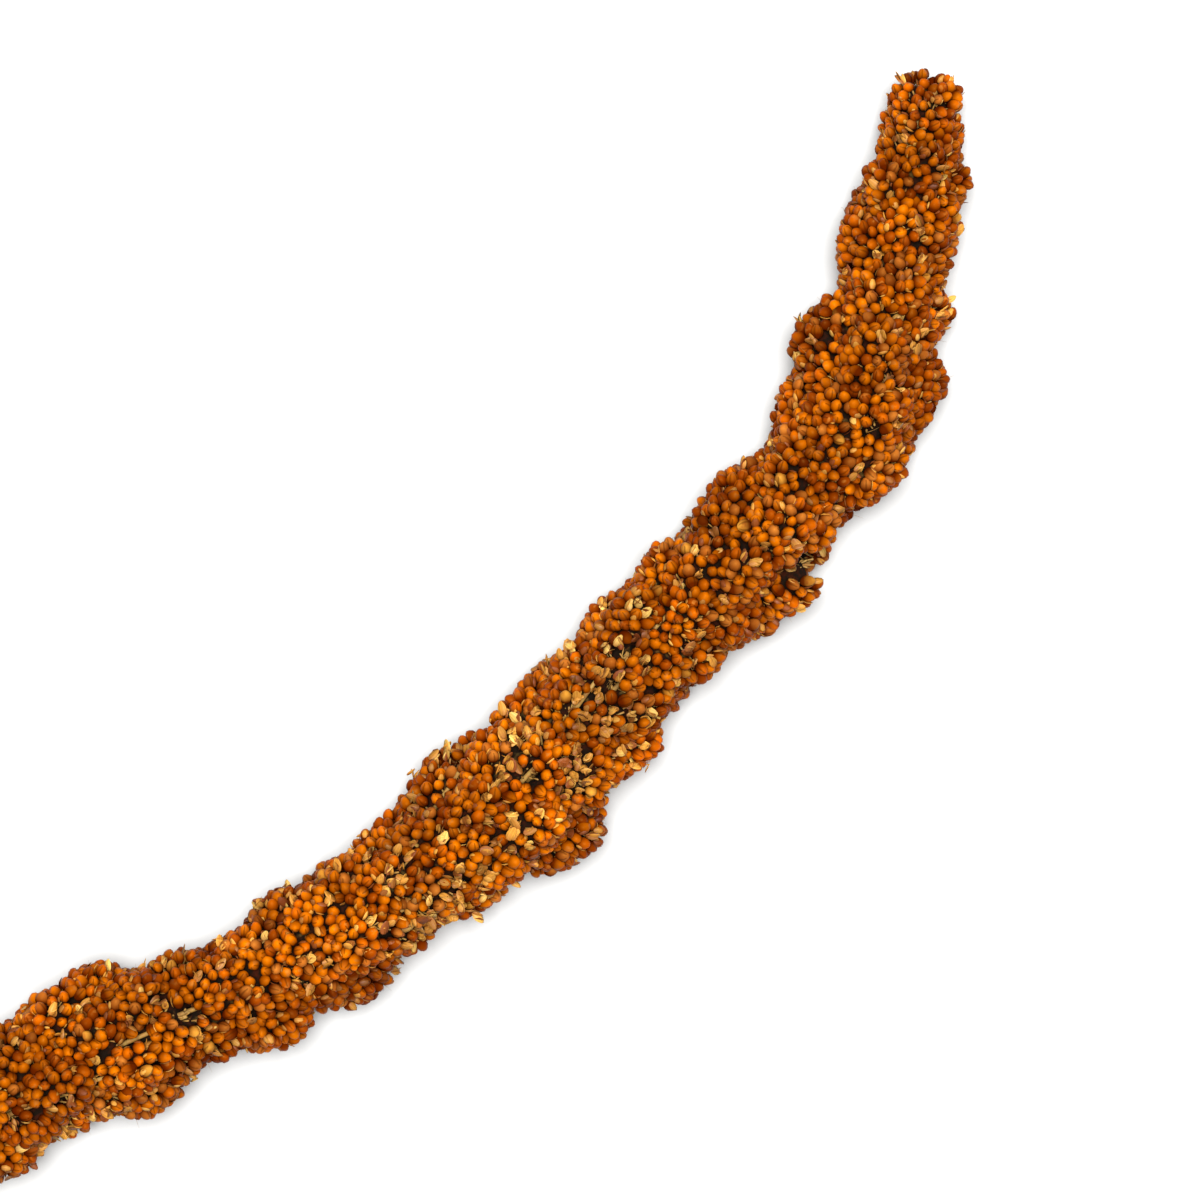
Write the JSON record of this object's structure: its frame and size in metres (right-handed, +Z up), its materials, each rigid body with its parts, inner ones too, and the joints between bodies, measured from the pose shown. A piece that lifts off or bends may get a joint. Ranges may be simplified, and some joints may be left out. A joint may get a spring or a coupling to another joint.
{
  "type": "millet seed head",
  "caption": "Long bowed head of red spray millet, packed with small round orange grains on short side branches, cut with a short stalk and lying on its side.",
  "frame": {"origin": "bottom centre of the bounding box, on the surface that the head lies on", "axes": "+X from the cut end of the stalk towards the tip, +Z up, so that the head bows towards -Y"},
  "size_m": [0.3228, 0.0619, 0.0267],
  "materials": {
    "grain": "satin orange-brown husks with tan papery bits",
    "straw": "dull olive straw"
  },
  "bodies": {
    "root": {"seed_head": "grain", "stalk": "straw"}
  },
  "joints": []
}
